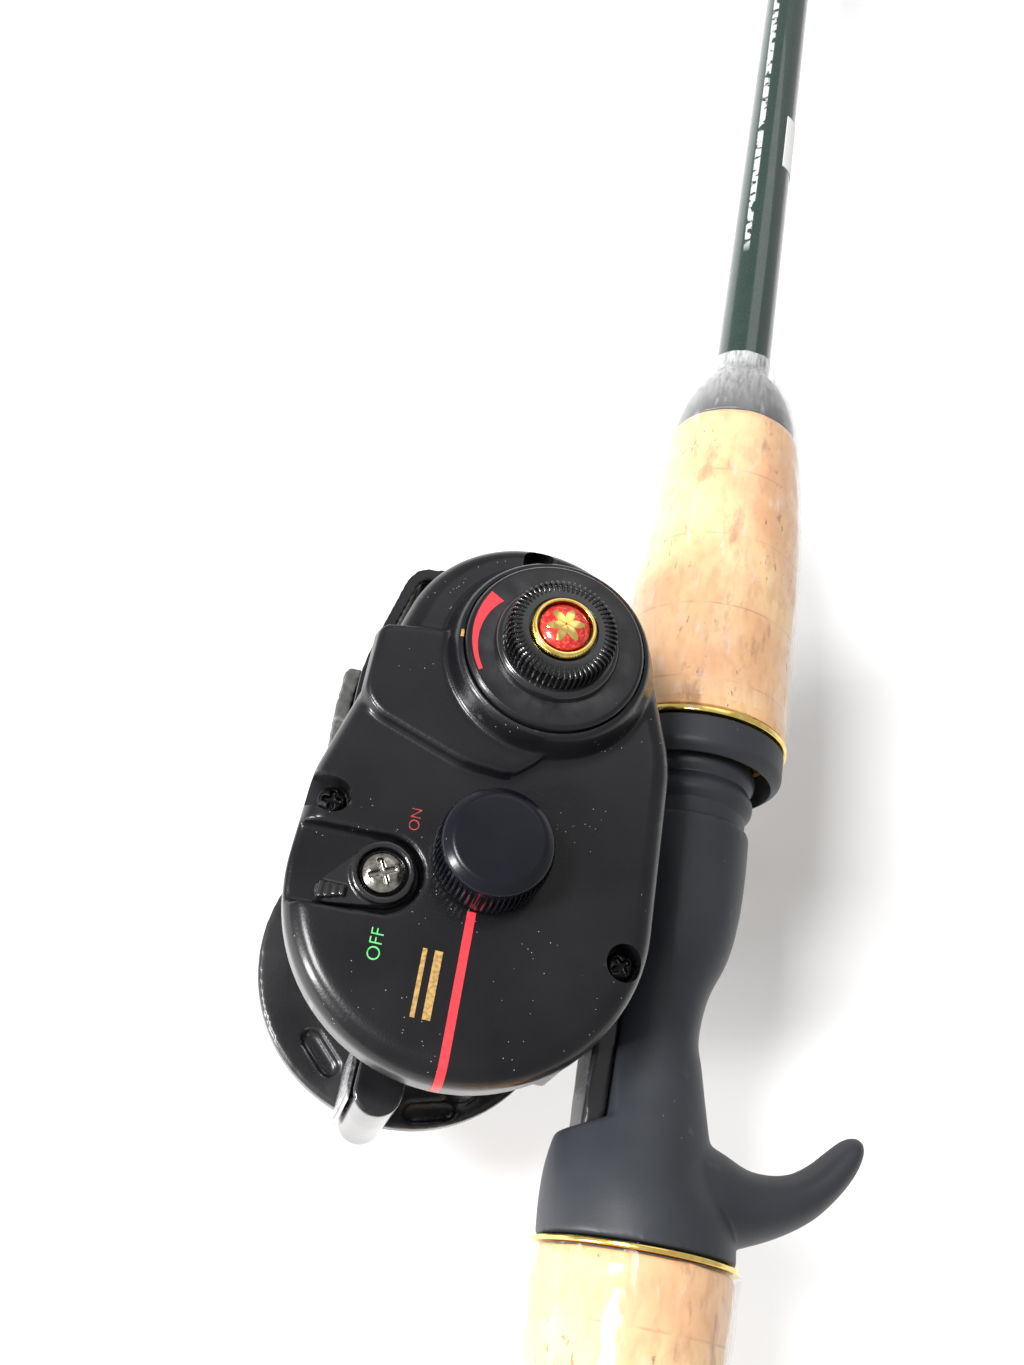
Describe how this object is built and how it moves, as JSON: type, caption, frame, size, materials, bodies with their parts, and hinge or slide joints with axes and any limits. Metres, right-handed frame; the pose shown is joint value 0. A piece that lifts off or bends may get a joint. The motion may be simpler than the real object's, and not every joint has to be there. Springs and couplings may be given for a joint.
{
  "type": "ice fishing rod",
  "caption": "Short ice fishing rod with cork grips, a trigger reel seat and a low-profile casting reel whose crank winds the spool.",
  "frame": {"origin": "on the rod's axis at the rear face of the reel seat, where the hand closes round the rod behind the trigger", "axes": "+Y along the rod to its tip, +X to the trigger's side, +Z out of the flat side plate"},
  "size_m": [0.0876, 0.8965, 0.1009],
  "materials": {
    "blank_green": "clear-coated dark green",
    "cork": "sanded cork",
    "clear_film": "thin clear shrink film",
    "seat_black": "satin moulded",
    "reel_black": "satin black",
    "gloss_black": "glossy black",
    "rubber_black": "matt rubber",
    "gold": "polished gold",
    "steel": "bright",
    "brass_gear": "machined",
    "ceramic": "polished",
    "red_enamel": "domed clear enamel over red",
    "alloy": "satin",
    "winding_thread": "varnished thread",
    "drag_fibre": "woven fibre"
  },
  "bodies": {
    "rod": {"rod_blank": "blank_green", "butt_cap": "rubber_black", "rear_core": "alloy", "rear_grip": "cork", "rear_grip_film": "clear_film", "rear_trim_ring": "gold", "seat_body": "seat_black", "guide_frame_1": "steel", "guide_frame_2": "steel", "guide_frame_3": "steel", "guide_ring_1": "ceramic", "guide_ring_2": "ceramic", "guide_ring_3": "ceramic", "guide_wrap_1a": "winding_thread", "guide_wrap_1b": "winding_thread", "guide_wrap_2a": "winding_thread", "guide_wrap_2b": "winding_thread", "guide_wrap_3a": "winding_thread", "guide_wrap_3b": "winding_thread", "tip_top": "steel", "tip_ring": "ceramic", "reel_frame": "reel_black", "side_plate_near": "reel_black", "side_plate_far": "reel_black", "front_cover": "reel_black", "thumb_pad": "rubber_black", "plate_screw_1": "steel", "plate_screw_2": "steel", "plate_screw_3": "steel", "spool_bearing_near": "steel", "spool_bearing_far": "steel", "guide_rod": "steel", "flip_screw": "steel"},
    "hood": {"fore_hood": "seat_black"},
    "fore_grip": {"fore_trim_ring": "gold", "fore_grip": "cork", "fore_grip_film": "clear_film", "winding_check": "rubber_black"},
    "spool": {"spool": "alloy", "spool_shaft": "steel", "pinion_gear": "brass_gear"},
    "crank": {"drive_shaft": "steel", "main_gear": "brass_gear", "drag_washer": "drag_fibre", "crank_arm": "alloy", "crank_nut": "steel", "knob_pin": "steel"},
    "crank_knob": {"crank_knob": "rubber_black"},
    "star_drag": {"star_drag": "alloy"},
    "worm": {"worm_shaft": "steel", "worm_gear": "brass_gear"},
    "line_guide": {"line_guide": "gloss_black"},
    "thumb_bar": {"thumb_bar": "gloss_black", "thumb_bar_strip": "steel"},
    "brake_dial": {"brake_dial": "gloss_black", "dial_bezel": "gold", "dial_jewel": "red_enamel"},
    "magnet": {"magnet_ring": "steel"},
    "tension_knob": {"tension_knob": "reel_black"},
    "flip_lever": {"flip_lever": "reel_black"}
  },
  "joints": [
    {"name": "hood_slide", "type": "slide", "parent": "rod", "child": "hood", "axis": [0, 1, 0], "range_m": [0, 0.0061]},
    {"name": "grip_turn", "type": "hinge", "parent": "hood", "child": "fore_grip", "pos_m": [0, 0.1, 0], "axis": [0, 1, 0], "range_deg": [0, 540]},
    {"name": "crank_turn", "type": "hinge", "parent": "rod", "child": "crank", "pos_m": [-0.0285, 0.0526, -0.03], "axis": [0, 0, 1], "continuous": true},
    {"name": "spool_spin", "type": "hinge", "parent": "rod", "child": "spool", "pos_m": [-0.0314, 0.0391, 0], "axis": [0, 0, 1], "continuous": true},
    {"name": "worm_spin", "type": "hinge", "parent": "rod", "child": "worm", "pos_m": [-0.03665, 0.06549, 0], "axis": [0, 0, 1], "continuous": true},
    {"name": "crank_knob_spin", "type": "hinge", "parent": "crank", "child": "crank_knob", "pos_m": [-0.0285, 0.0976, -0.05], "axis": [0, 0, 1], "continuous": true},
    {"name": "star_drag_turn", "type": "hinge", "parent": "crank", "child": "star_drag", "pos_m": [-0.0285, 0.0526, -0.033], "axis": [0, 0, 1], "range_deg": [-180, 180]},
    {"name": "line_guide_slide", "type": "slide", "parent": "rod", "child": "line_guide", "axis": [0, 0, 1], "range_m": [-0.0105, 0.0105]},
    {"name": "thumb_bar_press", "type": "slide", "parent": "rod", "child": "thumb_bar", "axis": [1, 0, 0], "range_m": [0, 0.004], "stiffness_N_per_m": 400, "springref_m": -0.002},
    {"name": "brake_dial_turn", "type": "hinge", "parent": "rod", "child": "brake_dial", "pos_m": [-0.0284, 0.0678, 0.03], "axis": [0, 0, 1], "range_deg": [0, 150]},
    {"name": "magnet_slide", "type": "slide", "parent": "rod", "child": "magnet", "axis": [0, 0, 1], "range_m": [0, 0.00151]},
    {"name": "tension_knob_turn", "type": "hinge", "parent": "rod", "child": "tension_knob", "pos_m": [-0.0314, 0.0391, 0.03], "axis": [0, 0, 1], "range_deg": [-180, 180]},
    {"name": "flip_lever_turn", "type": "hinge", "parent": "rod", "child": "flip_lever", "pos_m": [-0.0439, 0.0345, 0.027], "axis": [0, 0, 1], "range_deg": [-40, 0]}
  ],
  "couplings": [
    {"joint": "spool_spin", "follows": "crank_turn", "ratio": -5},
    {"joint": "worm_spin", "follows": "crank_turn", "ratio": -3.0769},
    {"joint": "hood_slide", "follows": "grip_turn", "m_per_rad": 0.00063662},
    {"joint": "magnet_slide", "follows": "brake_dial_turn", "m_per_rad": 0.00057296}
  ]
}
